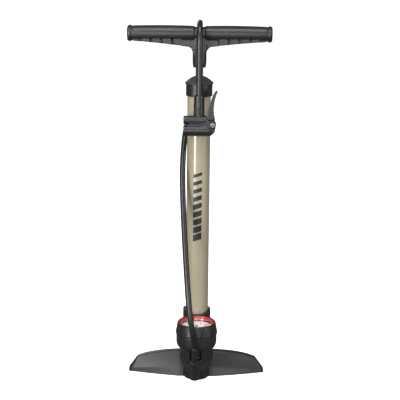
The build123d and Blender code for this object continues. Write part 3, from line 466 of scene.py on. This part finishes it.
# %% Slanted bars on the barrel
barrel_low, barrel_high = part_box("barrel")
barrel_radius = (barrel_high[0] - barrel_low[0]) / 2
BARS = 9
BAR_LEFT, BAR_RIGHT = math.radians(-24.0), math.radians(19.0)
GRAPHIC_LOW, GRAPHIC_HIGH = 243.0 * MM, 370.0 * MM
BAR_SLANT = 5.0 * MM
BAR_FILL, BAR_SHORTEN = 0.84, 0.055
BAR_STEPS = 12
BAR_INNER, BAR_OUTER = barrel_radius + 0.03 * MM, barrel_radius + 0.09 * MM
bar_maker = bmesh.new()
bar_pitch = (GRAPHIC_HIGH - GRAPHIC_LOW) / BARS
for bar in range(BARS):
    bar_height = bar_pitch * (BAR_FILL - BAR_SHORTEN * bar)
    low_edge = GRAPHIC_LOW + bar * bar_pitch
    for radius in (BAR_INNER, BAR_OUTER):
        grid = []
        for step in range(BAR_STEPS + 1):
            share = step / BAR_STEPS
            angle = BAR_LEFT + (BAR_RIGHT - BAR_LEFT) * share
            x, y = radius * math.sin(angle), -radius * math.cos(angle)
            rise = low_edge + BAR_SLANT * share
            grid.append((bar_maker.verts.new((x, y, rise)), bar_maker.verts.new((x, y, rise + bar_height))))
        for a, b in zip(grid, grid[1:]):
            bar_maker.faces.new((a[0], b[0], b[1], a[1]))
        if radius == BAR_INNER:
            inner_grid = grid
    border = [pair[0] for pair in grid] + [pair[1] for pair in reversed(grid)]
    inner_border = [pair[0] for pair in inner_grid] + [pair[1] for pair in reversed(inner_grid)]
    for i in range(len(border)):
        j = (i + 1) % len(border)
        bar_maker.faces.new((border[i], border[j], inner_border[j], inner_border[i]))
bmesh.ops.recalc_face_normals(bar_maker, faces=bar_maker.faces)
bar_mesh = bpy.data.meshes.new("barrel_graphic")
bar_maker.to_mesh(bar_mesh)
bar_maker.free()
piece_from_mesh("barrel_graphic", bar_mesh, ink_black, "root")
print("barrel radius", round(barrel_radius, 4))

# %% [markdown]
# ## The hose
# A hose is one length of rubber. It leaves the foot, bows forward over the gauge, lies beside
# the barrel, goes round behind it, over the handle and straight down into the head. A smooth
# curve carries the route; a tube is skinned on points read from it, with extra points in the
# stretch between barrel and handle.

# %% The route of the hose, in metres
HOSE_R = 5.0 * MM
END_BASE = Vector((-2.3, -84.0, 48.0)) * MM
END_LEAN = math.radians(27.0)
end_axis = Vector((0.0, -math.sin(END_LEAN), math.cos(END_LEAN)))
STRAND_Y = 32.0
HOSE_TOP = 618.4
END_OUT, END_STRAIGHT = 10.2, 46.0
route = [END_BASE + end_axis * END_OUT * MM, END_BASE + end_axis * END_STRAIGHT * MM] + [
    Vector(p) * MM for p in (
        (-10.5, -106.0, 128.0), (-15.5, -93.0, 176.0), (-20.5, -66.0, 240.0), (-25.0, -38.0, 304.0),
        (-27.4, -19.0, 360.0), (-26.2, -5.0, 400.0), (-23.6, 12.0, 430.0), (-16.0, 26.0, 456.0),
        (-6.0, 31.2, 486.0), (0.0, STRAND_Y, 520.0), (0.0, STRAND_Y, 545.0), (0.0, STRAND_Y, HOSE_TOP),
        (0.0, -STRAND_Y, HOSE_TOP), (0.0, -STRAND_Y, 545.0), (0.0, -STRAND_Y, 485.0),
    )
]


def smooth_points(name, points, resolution):
    """Points read from a smooth curve through the route's control points."""
    curve = bpy.data.curves.new(name, "CURVE")
    curve.dimensions = "3D"
    curve.resolution_u = resolution
    spline = curve.splines.new("NURBS")
    spline.points.add(len(points) - 1)
    for control, place in zip(spline.points, points):
        control.co = (*place, 1.0)
    spline.order_u = 3
    spline.use_endpoint_u = True
    holder = bpy.data.objects.new(name, curve)
    bpy.context.scene.collection.objects.link(holder)
    bpy.context.view_layer.update()
    ready = bpy.context.evaluated_depsgraph_get()
    sampled = bpy.data.meshes.new_from_object(holder.evaluated_get(ready))
    places = [v.co.copy() for v in sampled.vertices]
    bpy.data.objects.remove(holder)
    bpy.data.curves.remove(curve)
    bpy.data.meshes.remove(sampled)
    return places


def tube(name, line, radius, sides):
    """A closed round tube skinned on a line, its rings carried along without twist."""
    mesh_maker = bmesh.new()
    side = Vector((1.0, 0.0, 0.0))
    rings = []
    for i, centre in enumerate(line):
        along = (line[min(i + 1, len(line) - 1)] - line[max(i - 1, 0)]).normalized()
        side = (side - along * side.dot(along)).normalized()
        over = along.cross(side)
        rings.append([
            mesh_maker.verts.new(centre + radius * (math.cos(a) * side + math.sin(a) * over))
            for a in (2.0 * math.pi * k / sides for k in range(sides))
        ])
    for ring, following in zip(rings, rings[1:]):
        for k in range(sides):
            beside = (k + 1) % sides
            mesh_maker.faces.new((ring[k], ring[beside], following[beside], following[k]))
    mesh_maker.faces.new(list(reversed(rings[0])))
    mesh_maker.faces.new(rings[-1])
    mesh = bpy.data.meshes.new(name)
    mesh_maker.to_mesh(mesh)
    mesh_maker.free()
    for face in mesh.polygons:
        face.use_smooth = len(face.vertices) == 4
    return mesh


# %% Skin the hose
CURVE_STEPS, HOSE_SIDES, STRETCH_CUTS = 48, 24, 6
STRETCH_MARGIN = 10.0 * MM
hose_line = smooth_points("hose route", route, CURVE_STEPS)
stretch_low = 521.0 * MM
stretch_high = 560.0 * MM
hose_points = []
for a, b in zip(hose_line, hose_line[1:]):
    hose_points.append(a)
    if stretch_low - STRETCH_MARGIN < min(a.z, b.z) and max(a.z, b.z) < stretch_high + STRETCH_MARGIN:
        hose_points.extend(a.lerp(b, k / STRETCH_CUTS) for k in range(1, STRETCH_CUTS))
hose_points.append(hose_line[-1])
hose_mesh = tube("hose", hose_points, HOSE_R, HOSE_SIDES)
hose = piece_from_mesh("hose", hose_mesh, hose_rubber, None,
                       ("hose_riser", "hose_loop", "hose_drop"))
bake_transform(hose)

# %% [markdown]
# ## Room and lamps
# White paper lies below, and a white room stands behind. The room is dim as a light, so that black
# plastic stays black: only the rays that go straight to the lens see it white. The paper glows a
# little and keeps out of reflections, so that it meets the room with no horizon. The shape comes
# from six soft boxes. A tall one on the left and a narrow one close by draw the stripes on the
# barrel, one on the right lights the other edge, one above shows the tops of the wings, one in
# front opens the shadows, and one behind rims the black pieces.

# %% The floor
# Uncoated white paper: matt, so no lamp shows in it.
FLOOR_HALF = 9
PAPER_GLOW = 0.9
floor_mesh = bpy.data.meshes.new("paper floor")
corners = [(x * FLOOR_HALF, y * FLOOR_HALF, 0) for x, y in ((-1, -1), (1, -1), (1, 1), (-1, 1))]
floor_mesh.from_pydata(corners, [], [(0, 1, 2, 3)])
floor = bpy.data.objects.new("paper floor", floor_mesh)
bpy.context.scene.collection.objects.link(floor)
paper, tree, surface = new_material("matt white paper", "#f6f6f6", 0.9, Emission_Strength=PAPER_GLOW)
surface.inputs["Emission Color"].default_value = linear("#ffffff")
floor.data.materials.append(paper)
floor.visible_diffuse = False
floor.visible_glossy = False
print("floor", 2 * FLOOR_HALF, "m wide")

# %% The room
ROOM_DIM, ROOM_SEEN = 0.2, 1.1
world = bpy.data.worlds.new("studio")
bpy.context.scene.world = world
world.use_nodes = True
sky = world.node_tree
ray = add(sky, "ShaderNodeLightPath")
strength = add(sky, "ShaderNodeMapRange", {"To Min": ROOM_DIM, "To Max": ROOM_SEEN},
               {"Value": ray.outputs["Is Camera Ray"]})
sky.nodes["Background"].inputs["Color"].default_value = linear("#ffffff")
sky.links.new(strength.outputs["Result"], sky.nodes["Background"].inputs["Strength"])
bpy.context.scene.view_settings.view_transform = "Standard"
print("room", ROOM_DIM, "as a light and", ROOM_SEEN, "to the camera")


# %% The lamps
def soft_box(name, place, aim, width, height, power):
    """A rectangular lamp at a place, aimed at a point."""
    lamp = bpy.data.lights.new(name, "AREA")
    lamp.shape = "RECTANGLE"
    lamp.size = width
    lamp.size_y = height
    lamp.energy = power
    holder = bpy.data.objects.new(name, lamp)
    holder.location = place
    holder.rotation_euler = (Vector(aim) - Vector(place)).to_track_quat("-Z", "Y").to_euler()
    bpy.context.scene.collection.objects.link(holder)
    holder.visible_camera = False


soft_box("left soft box", (-1.25, -1.65, 0.6), (0, 0, 0.35), 0.42, 1.3, 22.0)
soft_box("near stripe", (-0.42, -0.64, 0.56), (0, 0, 0.4), 0.26, 1.1, 4.2)
soft_box("right soft box", (2.1, -1.3, 0.9), (0, 0, 0.3), 0.5, 1.8, 22.0)
soft_box("top soft box", (0.0, -0.95, 2.3), (0, 0, 0.2), 1.6, 0.9, 34.0)
soft_box("front soft box", (0.1, -2.7, 0.75), (0, 0, 0.5), 1.0, 0.9, 24.0)
soft_box("back soft box", (-0.9, 2.4, 1.3), (0, 0, 0.3), 1.2, 1.6, 12.0)
print("lamps", len(bpy.data.lights))
